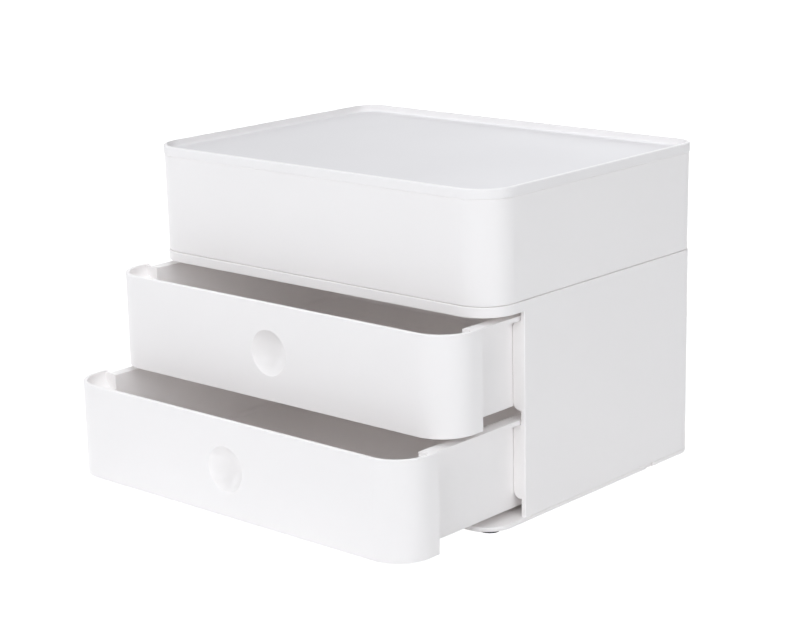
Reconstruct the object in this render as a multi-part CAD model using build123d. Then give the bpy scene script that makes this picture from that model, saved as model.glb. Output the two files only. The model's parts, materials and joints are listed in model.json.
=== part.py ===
from build123d import *
import os

# A two-drawer desk file box with an open-topped organiser box and a lid tray stacked on it.
# Millimetres. +Z is up, the drawer fronts face -Y and +X is the right-hand side seen from the front.
# The origin lies on the desk, under the middle of the closed cabinet.

# Overall plan of the cabinet, the organiser box and the lid
body_width = 260.0
body_depth = 195.0
front_corner_radius = 21.0
back_corner_radius = 14.0

# Rubber feet under the cabinet, and the same ones a little further in under the organiser box
foot_diameter = 12.0
foot_pocket_depth = 0.8
foot_stand_out = 1.1
foot_edge_round = 0.3
foot_side_inset = 10.5
foot_front_inset = 11.0
foot_back_inset = 9.5
stacking_foot_inset = 3.0

# Cabinet: a base plate and a housing of top, sides and back in one moulding
cabinet_height = 125.4
base_thickness = 3.0
base_corner_radius = 18.0
base_under_round = 1.6
base_top_round = 0.6
housing_wall = 3.0
top_edge_depth = 5.7
top_round = 0.5
wall_edge_round = 0.5
lug_length = 14.0
lug_thickness = 1.8
lug_height = 4.5
lug_clearance = 0.2
lug_spacing = 90.0
pry_slot_length = 7.5
pry_slot_depth = 2.0
pry_slot_y = 50.5

# Drawer fronts and the gaps round them
gap_over_base = 0.4
gap_between_fronts = 2.0
gap_under_top = 1.9
front_wall = 2.5
wrap_length = 28.8
wrap_gap = 0.6
front_edge_round = 0.6

# Finger dish in each front
dish_diameter = 26.2
dish_depth = 8.0
dish_wall = 2.0
dish_edge_round = 0.5
dish_below_middle = 0.6

# Drawer tub behind the front
tub_side_gap = 0.3
tub_wall = 2.5
tub_rise = 3.4
tub_floor = 2.0
tub_back_gap = 2.0
tub_back_radius = 6.0
tub_inside_round = 3.0
pocket_depth = 10.0
pocket_round = 8.0

# Side flange that carries each drawer on its runners
flange_drop = 1.5
flange_side_gap = 0.7
flange_plate = 2.0
flange_lip_height = 2.6
flange_lip_width = 2.0

# Runners on the housing's side walls
runner_thickness = 5.6
runner_over_base = 9.9
runner_over_flange = 5.2
runner_round = 4.3
runner_front_setback = 0.6
runner_back_gap = 14.0
runner_clearance = 0.3

# Pull-out stop: a nub on the tub that runs in a slot in the runner
drawer_travel = 135.0
nub_length = 6.0
nub_height = 4.0
nub_reach = 3.2
nub_clearance = 0.5
stop_clearance = 0.3

# How far each drawer stands open
upper_drawer_open = 35.3
lower_drawer_open = 72.1

# Organiser box on top of the cabinet
stack_gap = 0.3
dimple_clearance = 0.5
organiser_height = 57.7
organiser_wall = 2.5
organiser_floor = 2.5
organiser_draft = 0.5
organiser_inside_round = 4.0
organiser_rim_round = 0.5
organiser_foot_round = 0.3

# Lid tray
lid_edge_height = 5.5
lid_overhang = 0.3
lid_rim = 2.0
lid_recess = 4.5
lid_floor = 2.0
lid_fit_clearance = 0.4
lid_round = 0.7
lid_recess_round = 1.5

# Places worked out from the sizes above
front_y = -body_depth / 2
back_y = body_depth / 2
half_width = body_width / 2
base_bottom_z = foot_stand_out
base_top_z = base_bottom_z + base_thickness
cabinet_top_z = base_bottom_z + cabinet_height
top_edge_z = cabinet_top_z - top_edge_depth
side_front_y = front_y + wrap_length + wrap_gap
wall_inner_x = half_width - housing_wall
wall_inner_back_y = back_y - housing_wall
front_height = (top_edge_z - base_top_z - gap_over_base - gap_between_fronts - gap_under_top) / 2
lower_front_z = base_top_z + gap_over_base
upper_front_z = lower_front_z + front_height + gap_between_fronts
runner_inner_x = wall_inner_x - runner_thickness
tub_half_width = runner_inner_x - tub_side_gap
tub_back_y = wall_inner_back_y - tub_back_gap
nub_back_y = tub_back_y - tub_back_radius
nub_rise = (front_height - flange_drop) / 2
flange_half_width = wall_inner_x - flange_side_gap
runner_front_y = side_front_y + runner_front_setback
runner_back_y = wall_inner_back_y - runner_back_gap
lower_runner_z = base_top_z + runner_over_base
upper_runner_z = lower_front_z + front_height - flange_drop + runner_over_flange
organiser_bottom_z = cabinet_top_z + stack_gap
organiser_top_z = organiser_bottom_z + organiser_height
lid_top_z = organiser_top_z + lid_edge_height

# Cuts run this far past the faces that they open, and joined shapes reach this far into each other
cut_over = 1.0
join_overlap = 1.0
find_tolerance = 0.01


def plan(inset, front_radius=front_corner_radius):
    """Outline of the cabinet seen from above, drawn in by inset on every side."""
    sheet = Rectangle(body_width - 2 * inset, body_depth - 2 * inset)
    sheet = fillet(sheet.vertices().sort_by(Axis.Y)[:2], front_radius - inset)
    return fillet(sheet.vertices().sort_by(Axis.Y)[-2:], back_corner_radius - inset)


def prism(sheet, z_low, z_high):
    """A flat outline raised into a solid between two heights."""
    return Pos(0, 0, z_low) * extrude(sheet, z_high - z_low)


def block(x_low, x_high, y_low, y_high, z_low, z_high):
    """A plain block between two corners."""
    size = (x_high - x_low, y_high - y_low, z_high - z_low)
    return Pos((x_low + x_high) / 2, (y_low + y_high) / 2, (z_low + z_high) / 2) * Box(*size)


def edges_at(solid, place, axis=Axis.Z):
    """The edges that lie wholly at one place along an axis, which is upright unless told otherwise."""
    return solid.edges().filter_by_position(axis, place - find_tolerance, place + find_tolerance)


def both_sides(solid):
    """A solid on the right together with its mirror image on the left."""
    return solid + mirror(solid, Plane.YZ)


def foot_places(inset):
    """Names and centres of four feet that stand further in than the cabinet's own feet by inset."""
    x = half_width - foot_side_inset - inset
    places = {}
    rows = {"front": front_y + foot_front_inset + inset, "back": back_y - foot_back_inset - inset}
    for row, y in rows.items():
        places[f"{row}_left"] = (-x, y)
        places[f"{row}_right"] = (x, y)
    return places


def foot(place, surface_z):
    """A rubber foot let into the underside at surface_z."""
    x, y = place
    height = foot_pocket_depth + foot_stand_out
    disc = Pos(x, y, surface_z + foot_pocket_depth - height / 2) * Cylinder(foot_diameter / 2, height)
    return fillet(edges_at(disc, surface_z - foot_stand_out), foot_edge_round)


def round_pocket(place, diameter, z_low, z_high):
    """A round pocket for a foot."""
    x, y = place
    return Pos(x, y, (z_low + z_high) / 2) * Cylinder(diameter / 2, z_high - z_low)


def base_plate():
    """Floor of the cabinet, with lugs that locate the housing and pry slots at its sides."""
    plate = prism(plan(0, base_corner_radius), base_bottom_z, base_top_z)
    plate = fillet(edges_at(plate, base_bottom_z), base_under_round)
    plate = fillet(edges_at(plate, base_top_z), base_top_round)
    for place in foot_places(0).values():
        plate -= round_pocket(place, foot_diameter, base_bottom_z - cut_over, base_bottom_z + foot_pocket_depth)
    lug_x = wall_inner_x - lug_clearance
    for y in (-lug_spacing / 2, lug_spacing / 2):
        lug = block(lug_x - lug_thickness, lug_x, y - lug_length / 2, y + lug_length / 2,
                    base_top_z - join_overlap, base_top_z + lug_height)
        plate += both_sides(lug)
    slot = block(half_width - pry_slot_depth, half_width + cut_over,
                 pry_slot_y - pry_slot_length / 2, pry_slot_y + pry_slot_length / 2,
                 base_bottom_z - cut_over, base_top_z + cut_over)
    return plate - both_sides(slot)


def cabinet_housing():
    """Top, two sides and back in one moulding, open at the front below the top edge."""
    shell = prism(plan(0), base_top_z, cabinet_top_z)
    shell = fillet(edges_at(shell, cabinet_top_z), top_round)
    hollow = prism(plan(housing_wall), base_top_z - cut_over, cabinet_top_z - housing_wall)
    shell -= hollow
    shell -= block(-body_width, body_width, front_y - cut_over, side_front_y, base_top_z - cut_over, top_edge_z)
    shell = fillet(edges_at(shell, side_front_y, Axis.Y).filter_by(Axis.Z), wall_edge_round)
    for place in foot_places(stacking_foot_inset).values():
        shell -= round_pocket(place, foot_diameter + 2 * dimple_clearance,
                              cabinet_top_z - (foot_stand_out - stack_gap), cabinet_top_z + cut_over)
    return shell


def runner(front_z, bottom_z):
    """Right-hand runner for the drawer whose front stands at front_z, with its stop slot."""
    top_z = front_z + front_height - flange_drop - flange_lip_height - runner_clearance
    bar = block(runner_inner_x, wall_inner_x, runner_front_y, runner_back_y, bottom_z, top_z)
    rims = bar.edges().filter_by(Axis.Y).sort_by(Axis.X)[:2]
    bar = fillet(rims, runner_round)
    slot_front_y = nub_back_y - nub_length - drawer_travel - stop_clearance
    slot_z = front_z + nub_rise
    slot_half = nub_height / 2 + nub_clearance
    slot_x = tub_half_width + nub_reach + nub_clearance
    return bar - block(runner_inner_x - cut_over, slot_x, slot_front_y, runner_back_y + cut_over,
                       slot_z - slot_half, slot_z + slot_half)


def housing_room(z_low, z_high):
    """The room inside the housing that a closed drawer may fill, with the flanges' side gap all round."""
    return prism(plan(housing_wall + flange_side_gap), z_low, z_high)


def drawer(front_z, opening):
    """One drawer: wrapped front, tub, side flanges, stop nubs and finger dish in one moulding."""
    top_z = front_z + front_height
    flange_z = top_z - flange_drop
    tub_z = front_z + tub_rise
    wrap_y = front_y + wrap_length

    # The wrapped front, with the top edge rounded before it is hollowed
    front_block = prism(plan(0), front_z, top_z)
    front_block &= block(-body_width, body_width, front_y - cut_over, wrap_y, front_z, top_z)
    hollow = prism(plan(front_wall), front_z - cut_over, top_z + cut_over)
    wrap = front_block - hollow
    wrap = fillet(edges_at(wrap, top_z), front_edge_round)

    # The tub, open above, and the flanges and bulkheads at its sides
    tub_front_y = front_y + join_overlap
    tub_sheet = Pos(0, (tub_front_y + tub_back_y) / 2) * Rectangle(2 * tub_half_width, tub_back_y - tub_front_y)
    tub_sheet = fillet(tub_sheet.vertices().sort_by(Axis.Y)[-2:], tub_back_radius)
    tub = prism(tub_sheet, tub_z, flange_z) & prism(plan(0), tub_z, flange_z)
    side_x = tub_half_width - join_overlap
    plate = block(side_x, flange_half_width, wrap_y, tub_back_y, flange_z - flange_plate, flange_z)
    lip = block(flange_half_width - flange_lip_width, flange_half_width, wrap_y, tub_back_y,
                flange_z - flange_lip_height, flange_z)
    flange = (plate + lip) & housing_room(flange_z - flange_lip_height, flange_z)
    bulkhead = block(side_x, half_width - join_overlap, wrap_y - front_wall, wrap_y, tub_z, flange_z)
    tub += both_sides(flange)
    tub += both_sides(bulkhead)

    # Webs that close the wrapped ends below their corner pockets
    web = prism(plan(join_overlap), tub_z, top_z - front_edge_round - join_overlap / 2)
    tub += web & both_sides(block(side_x, half_width, front_y, wrap_y, tub_z, top_z))

    # Inside of the tub and the scooped corner pockets; the wrapped ends are open underneath
    inner_half = tub_half_width - tub_wall
    inner_front_y = front_y + front_wall
    inner_back_y = tub_back_y - tub_wall
    inner_floor_z = tub_z + tub_floor
    pocket_floor_z = top_z - pocket_depth
    inner_sheet = Rectangle(2 * inner_half, inner_back_y - inner_front_y)
    inner_sheet = Pos(0, (inner_front_y + inner_back_y) / 2) * inner_sheet
    inner_sheet = fillet(inner_sheet.vertices().sort_by(Axis.Y)[-2:], tub_back_radius - tub_wall)
    inner = prism(inner_sheet, inner_floor_z, top_z + cut_over)
    inner = fillet(edges_at(inner, inner_floor_z), tub_inside_round)
    scoop = prism(plan(front_wall), pocket_floor_z, top_z + cut_over)
    scoop = fillet(edges_at(scoop, pocket_floor_z), pocket_round)
    scoop &= both_sides(block(inner_half - cut_over, half_width, front_y, wrap_y - front_wall,
                              pocket_floor_z, top_z + cut_over))
    under = prism(plan(front_wall), front_z - cut_over, pocket_floor_z - tub_floor)
    under &= both_sides(block(tub_half_width, half_width, front_y, wrap_y - front_wall,
                              front_z - cut_over, pocket_floor_z))
    body = wrap + (tub - inner - scoop - under)

    # Finger dish: a shallow round bowl through the front with its own wall behind
    dish_z = front_z + front_height / 2 - dish_below_middle
    bowl_radius = ((dish_diameter / 2) ** 2 + dish_depth ** 2) / (2 * dish_depth)
    bowl_y = front_y + dish_depth - bowl_radius
    bowl = Pos(0, bowl_y, dish_z) * Sphere(bowl_radius)
    cup = Pos(0, bowl_y, dish_z) * Sphere(bowl_radius + dish_wall)
    cup &= block(-dish_diameter, dish_diameter, tub_front_y, front_y + 2 * dish_depth, front_z, top_z)
    body = body + cup - bowl
    body = fillet(edges_at(body, front_y, Axis.Y).filter_by(GeomType.CIRCLE), dish_edge_round)

    # Stop nubs on the outside of the tub, just in front of its rounded back corners
    nub_z = front_z + nub_rise
    nub = block(side_x, tub_half_width + nub_reach, nub_back_y - nub_length, nub_back_y,
                nub_z - nub_height / 2, nub_z + nub_height / 2)
    body += both_sides(nub)
    return Pos(0, -opening, 0) * body


def organiser_box():
    """Open box that stands on the cabinet, drawn in slightly towards its bottom."""
    low = Pos(0, 0, organiser_bottom_z) * plan(organiser_draft)
    high = Pos(0, 0, organiser_top_z) * plan(0)
    box = loft([low, high], ruled=True)
    box = fillet(edges_at(box, organiser_bottom_z), organiser_foot_round)
    box = fillet(edges_at(box, organiser_top_z), organiser_rim_round)
    inner_inset = organiser_wall + organiser_draft
    floor_z = organiser_bottom_z + organiser_floor
    low = Pos(0, 0, floor_z) * plan(inner_inset)
    high = Pos(0, 0, organiser_top_z + cut_over) * plan(organiser_wall)
    hollow = loft([low, high], ruled=True)
    hollow = fillet(edges_at(hollow, floor_z), organiser_inside_round)
    box -= hollow
    for place in foot_places(stacking_foot_inset).values():
        box -= round_pocket(place, foot_diameter, organiser_bottom_z - cut_over,
                            organiser_bottom_z + foot_pocket_depth)
    return box


def lid_tray():
    """Lid with a tray recess above and a raised centre below that drops into the organiser box."""
    inset = -lid_overhang
    lid = prism(plan(inset), organiser_top_z, lid_top_z)
    lid = fillet(edges_at(lid, lid_top_z), lid_round)
    lid = fillet(edges_at(lid, organiser_top_z), lid_round / 2)
    recess_z = lid_top_z - lid_recess
    recess = prism(plan(inset + lid_rim), recess_z, lid_top_z + cut_over)
    recess = fillet(edges_at(recess, recess_z), lid_recess_round)
    plug_inset = organiser_wall + lid_fit_clearance
    plug = prism(plan(plug_inset), recess_z - lid_floor, recess_z)
    return lid + plug - recess


nodes = {
    "base_plate": base_plate(),
    "cabinet_housing": cabinet_housing(),
    "organiser_box": organiser_box(),
    "lid_tray": lid_tray(),
    "upper_drawer": drawer(upper_front_z, upper_drawer_open),
    "lower_drawer": drawer(lower_front_z, lower_drawer_open),
}
levels = {"upper": (upper_front_z, upper_runner_z), "lower": (lower_front_z, lower_runner_z)}
for level, (front_z, runner_z) in levels.items():
    right = runner(front_z, runner_z)
    nodes[f"{level}_right_runner"] = right
    nodes[f"{level}_left_runner"] = mirror(right, Plane.YZ)
for place_name, place in foot_places(0).items():
    nodes[f"foot_{place_name}"] = foot(place, base_bottom_z)
for place_name, place in foot_places(stacking_foot_inset).items():
    nodes[f"stacking_foot_{place_name}"] = foot(place, organiser_bottom_z)

os.makedirs("parts", exist_ok=True)
for name, shape in nodes.items():
    export_step(shape, f"parts/{name}.step")
    box = shape.bounding_box()
    print(f"{name:28s} volume {shape.volume:10.1f}  z {box.min.Z:7.2f} to {box.max.Z:7.2f}")
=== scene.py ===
import json
import math

import bmesh
import bpy
from mathutils import Matrix, Vector

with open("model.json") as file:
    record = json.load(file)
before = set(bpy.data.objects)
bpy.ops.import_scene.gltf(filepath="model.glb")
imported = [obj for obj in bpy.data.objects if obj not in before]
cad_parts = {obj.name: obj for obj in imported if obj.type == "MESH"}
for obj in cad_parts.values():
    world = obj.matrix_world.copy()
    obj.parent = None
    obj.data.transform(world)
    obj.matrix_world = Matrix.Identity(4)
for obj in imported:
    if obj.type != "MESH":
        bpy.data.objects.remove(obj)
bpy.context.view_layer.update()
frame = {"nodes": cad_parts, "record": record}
scene = bpy.context.scene
print("frame loaded:", len(frame["nodes"]), "nodes")


# Camera

camera = {
    "focalPixels": 2086.2,      # focal length in pixels of an 800 pixel wide picture
    "pictureWidth": 800,
    "sensorWidth": 36.0,        # mm
    "target": (-0.0195, 0.0, 0.0834),
    "azimuth": 41.63,           # degrees to the right of the fronts
    "elevation": 14.26,
    "roll": -1.21,
    "distance": 1.2692,         # metres
}


def turnTowards(azimuth, elevation):
    # A turn that makes -Z look at the object, from degrees to the right of the fronts and degrees up
    turn = Matrix.Rotation(math.radians(azimuth), 3, "Z")
    return turn @ Matrix.Rotation(math.radians(90.0 - elevation), 3, "X")


def makeCamera(c):
    data = bpy.data.cameras.new("camera")
    data.sensor_width = c["sensorWidth"]
    data.lens = c["focalPixels"] * c["sensorWidth"] / c["pictureWidth"]
    turn = turnTowards(c["azimuth"], c["elevation"])
    back = turn @ Vector((0.0, 0.0, 1.0))
    turn = turn @ Matrix.Rotation(math.radians(c["roll"]), 3, "Z")
    eye = bpy.data.objects.new("camera", data)
    eye.location = Vector(c["target"]) + back * c["distance"]
    eye.rotation_euler = turn.to_euler()
    scene.collection.objects.link(eye)
    scene.camera = eye


makeCamera(camera)
print("camera made")


# Shader maths

class Socket:
    # A node output; arithmetic on it adds the Math nodes that do the sum
    def __init__(self, tree, output):
        self.tree = tree
        self.output = output

    def maths(self, operation, first, second, clamp=False):
        settings = {"operation": operation, "use_clamp": clamp}
        return node(self.tree, "ShaderNodeMath", settings, {0: first, 1: second})[0]

    def __add__(self, other):
        return self.maths("ADD", self, other)

    def __radd__(self, other):
        return self.maths("ADD", other, self)

    def __sub__(self, other):
        return self.maths("SUBTRACT", self, other)

    def __rsub__(self, other):
        return self.maths("SUBTRACT", other, self)

    def __mul__(self, other):
        return self.maths("MULTIPLY", self, other)

    def __rmul__(self, other):
        return self.maths("MULTIPLY", other, self)

    def __truediv__(self, other):
        return self.maths("DIVIDE", self, other)

    def __rtruediv__(self, other):
        return self.maths("DIVIDE", other, self)

    def larger(self, other):
        return self.maths("MAXIMUM", self, other)

    def clamped(self):
        # Held between 0 and 1
        return self.maths("MULTIPLY", self, 1.0, clamp=True)


def node(tree, kind, settings=None, values=None):
    # One node: its settings first, then the values or links of its inputs; returns its outputs
    made = tree.nodes.new(kind)
    for name, value in (settings or {}).items():
        setattr(made, name, value)
    for name, value in (values or {}).items():
        if isinstance(value, Socket):
            tree.links.new(value.output, made.inputs[name])
        else:
            made.inputs[name].default_value = value
    return [Socket(tree, out) for out in made.outputs]


def namedOutputs(tree, kind):
    # The outputs of a node that needs no inputs, by their names
    return {made.output.name: made for made in node(tree, kind)}


def principled(name, fixed, varied):
    # A material with one Principled shader; fixed values sit on its own sockets
    material = bpy.data.materials.new(name)
    material.use_nodes = True
    tree = material.node_tree
    shader = tree.nodes["Principled BSDF"]
    for socket, value in fixed.items():
        shader.inputs[socket].default_value = value
    for socket, value in varied(tree).items():
        tree.links.new(value.output, shader.inputs[socket])
    return material


noise = {
    "detail": 2.0,              # where a finish names no other
    "roughness": 0.5,
    "middle": 0.5,              # the value that the noise swings round
}


def objectNoise(tree, size, detail=noise["detail"]):
    # Noise fixed to the object; size is the width of its blobs in metres
    place = namedOutputs(tree, "ShaderNodeTexCoord")["Object"]
    values = {"Vector": place, "Scale": 1.0 / size, "Detail": detail, "Roughness": noise["roughness"]}
    return node(tree, "ShaderNodeTexNoise", {}, values)[0]


def upPart(vector):
    # The Z of a vector's X, Y and Z
    return node(vector.tree, "ShaderNodeSeparateXYZ", {}, {"Vector": vector})[2]


mixPlaces = {                   # where a Mix node keeps its colour sockets
    "factor": 0,
    "first": 6,
    "second": 7,
    "result": 2,
}


def mixColours(tree, factor, first, second):
    # Each of the two colours is a plain colour or a socket
    values = {mixPlaces["factor"]: factor}
    for place, colour in (("first", first), ("second", second)):
        values[mixPlaces[place]] = colour if isinstance(colour, Socket) else (*colour, 1.0)
    return node(tree, "ShaderNodeMix", {"data_type": "RGBA"}, values)[mixPlaces["result"]]


def tinted(colour, tint):
    return tuple(c * t for c, t in zip(colour, tint))


def unevenRoughness(cloud, finish):
    return (cloud - noise["middle"]) * finish["roughnessSpread"] + finish["roughness"]


def bumps(tree, height, depth):
    # A bump from a height of 0 to 1; depth is in metres
    return node(tree, "ShaderNodeBump", {}, {"Height": height, "Strength": 1.0, "Distance": depth})[0]


# White moulded plastic of the cabinet, drawers and organiser box

whitePlastic = {
    "colour": (0.932, 0.912, 0.903),
    "shade": (0.920, 0.900, 0.891),     # wide clouds of this over the colour
    "ior": 1.49,
    "roughness": 0.38,
    "roughnessSpread": 0.10,
    "cloudSize": 0.09,          # sizes and depths are in metres
    "grainSize": 0.0006,
    "grainDetail": 1.0,
    "grainDepth": 0.000012,
    "waveSize": 0.012,          # the faint waviness of a moulded wall
    "waveDepth": 0.00002,
}


def makeWhitePlastic(w):
    def varied(tree):
        cloud = objectNoise(tree, w["cloudSize"])
        grain = objectNoise(tree, w["grainSize"], w["grainDetail"])
        wave = objectNoise(tree, w["waveSize"])
        height = grain * (w["grainDepth"] / w["waveDepth"]) + wave
        return {
            "Base Color": mixColours(tree, cloud, w["colour"], w["shade"]),
            "Roughness": unevenRoughness(cloud, w),
            "Normal": bumps(tree, height, w["waveDepth"]),
        }
    return principled("whitePlastic", {"IOR": w["ior"]}, varied)


# Satin plastic of the lid tray: a white rim round a floor with painted shade, coloured slightly
# cooler and greyer where it faces up below the rim

satinPlastic = {
    "colour": (0.925, 0.908, 0.902),
    "shade": (0.910, 0.893, 0.887),
    "floorShadeTint": (0.825, 0.825, 0.838),     # painted shade: the floor's colour is the rim's times this
    "floorTop": 0.1871,         # metres up; from here upwards all is the rim's colour
    "floorBlend": 0.0012,       # and this much lower all that faces up has the floor's painted-shade colour
    "ior": 1.49,
    "roughness": 0.52,
    "roughnessSpread": 0.10,
    "cloudSize": 0.07,
    "grainSize": 0.0005,
    "grainDetail": 1.0,
    "grainDepth": 0.00003,
}


def makeSatinPlastic(s):
    def varied(tree):
        cloud = objectNoise(tree, s["cloudSize"])
        grain = objectNoise(tree, s["grainSize"], s["grainDetail"])
        place = namedOutputs(tree, "ShaderNodeTexCoord")
        # painted shade on the tray floor: what lies below the rim top and faces up is darkened
        low = ((s["floorTop"] - upPart(place["Object"])) / s["floorBlend"]).clamped()
        facesUp = upPart(place["Normal"]).clamped()
        rim = mixColours(tree, cloud, s["colour"], s["shade"])
        floor = mixColours(tree, cloud, tinted(s["colour"], s["floorShadeTint"]),
                           tinted(s["shade"], s["floorShadeTint"]))
        return {
            "Base Color": mixColours(tree, low * facesUp, rim, floor),
            "Roughness": unevenRoughness(cloud, s),
            "Normal": bumps(tree, grain, s["grainDepth"]),
        }
    return principled("satinPlastic", {"IOR": s["ior"]}, varied)


# Dark rubber of the feet

footRubber = {
    "colour": (0.035, 0.035, 0.037),
    "shade": (0.055, 0.054, 0.053),
    "ior": 1.5,
    "roughness": 0.75,
    "roughnessSpread": 0.20,
    "grainSize": 0.0008,
    "grainDetail": 3.0,
    "grainDepth": 0.00004,
}


def makeFootRubber(r):
    def varied(tree):
        grain = objectNoise(tree, r["grainSize"], r["grainDetail"])
        return {
            "Base Color": mixColours(tree, grain, r["colour"], r["shade"]),
            "Roughness": unevenRoughness(grain, r),
            "Normal": bumps(tree, grain, r["grainDepth"]),
        }
    return principled("footRubber", {"IOR": r["ior"]}, varied)


finishes = {
    "white_plastic": makeWhitePlastic(whitePlastic),
    "white_satin_plastic": makeSatinPlastic(satinPlastic),
    "foot_rubber": makeFootRubber(footRubber),
}
for part in frame["record"]["subparts"]:
    shown = frame["nodes"][part["node"]]
    for place in shown.material_slots:
        place.material = finishes[part["material_slot"]]
print("materials made:", len(finishes))


# Studio: a white floor, five soft lamps round the object and a faint, even white surround

studio = {
    "floorHalf": 20.0,          # metres from the middle to each side
    "floorCells": 2,
    "floorColour": (0.90, 0.90, 0.90),
    "floorGlow": 0.80,          # lifts the floor to white where it is seen
    "glowColour": (1.0, 1.0, 1.0),
    "surround": 0.16,           # light from all round
    "surroundColour": (1.0, 1.0, 1.0),
    "diffuseBounces": 12,       # light goes this often from wall to wall inside the pale drawers
    "lightBounces": 16,
    "aim": (0.0, -0.05, 0.08),
    "lampDistance": 3.0,        # metres
    "lampColour": (0.945, 0.965, 1.0),
    "lamps": {
        # name: degrees to the right of the fronts, degrees up, width in metres, power in watts
        "front": (15.0, 25.0, 1.6, 30.5),
        "right": (75.0, 24.0, 1.8, 24.5),
        "top": (0.0, 88.0, 1.6, 33.5),
        "left": (-60.0, 20.0, 1.6, 21.3),
        "back": (205.0, 22.0, 1.6, 11.0),
    },
}


def seenRays(tree):
    # 1 for what the camera sees itself, in a reflection or through a clear piece
    path = namedOutputs(tree, "ShaderNodeLightPath")
    return path["Is Camera Ray"].larger(path["Is Glossy Ray"]).larger(path["Is Transmission Ray"])


def makeFloor(s):
    shape = bmesh.new()
    cells = s["floorCells"]
    bmesh.ops.create_grid(shape, x_segments=cells, y_segments=cells, size=s["floorHalf"])
    mesh = bpy.data.meshes.new("floor")
    shape.to_mesh(mesh)
    shape.free()
    floor = bpy.data.objects.new("floor", mesh)
    scene.collection.objects.link(floor)
    material = bpy.data.materials.new("floorPaper")
    material.use_nodes = True
    tree = material.node_tree
    tree.nodes.clear()
    paper = node(tree, "ShaderNodeBsdfDiffuse", {}, {"Color": (*s["floorColour"], 1.0)})[0]
    lift = {"Color": (*s["glowColour"], 1.0), "Strength": seenRays(tree) * s["floorGlow"]}
    glow = node(tree, "ShaderNodeEmission", {}, lift)[0]
    both = node(tree, "ShaderNodeAddShader", {}, {0: paper, 1: glow})[0]
    node(tree, "ShaderNodeOutputMaterial", {}, {"Surface": both})
    mesh.materials.append(material)


def makeSurround(s):
    world = bpy.data.worlds.new("surround")
    world.use_nodes = True
    scene.world = world
    tree = world.node_tree
    sky = tree.nodes["Background"]
    sky.inputs["Color"].default_value = (*s["surroundColour"], 1.0)
    strength = seenRays(tree) * (1.0 - s["surround"]) + s["surround"]   # 1 where it is seen
    tree.links.new(strength.output, sky.inputs["Strength"])


def makeLamps(s):
    for name, (azimuth, elevation, width, power) in s["lamps"].items():
        turn = turnTowards(azimuth, elevation)
        data = bpy.data.lights.new(name, "AREA")
        data.shape = "DISK"
        data.size = width
        data.energy = power
        data.color = s["lampColour"]
        lamp = bpy.data.objects.new(name, data)
        lamp.location = Vector(s["aim"]) + turn @ Vector((0.0, 0.0, s["lampDistance"]))
        lamp.rotation_euler = turn.to_euler()
        scene.collection.objects.link(lamp)


makeFloor(studio)
makeSurround(studio)
makeLamps(studio)
scene.cycles.diffuse_bounces = studio["diffuseBounces"]
scene.cycles.max_bounces = studio["lightBounces"]
scene.view_settings.view_transform = "Standard"
print("studio made")
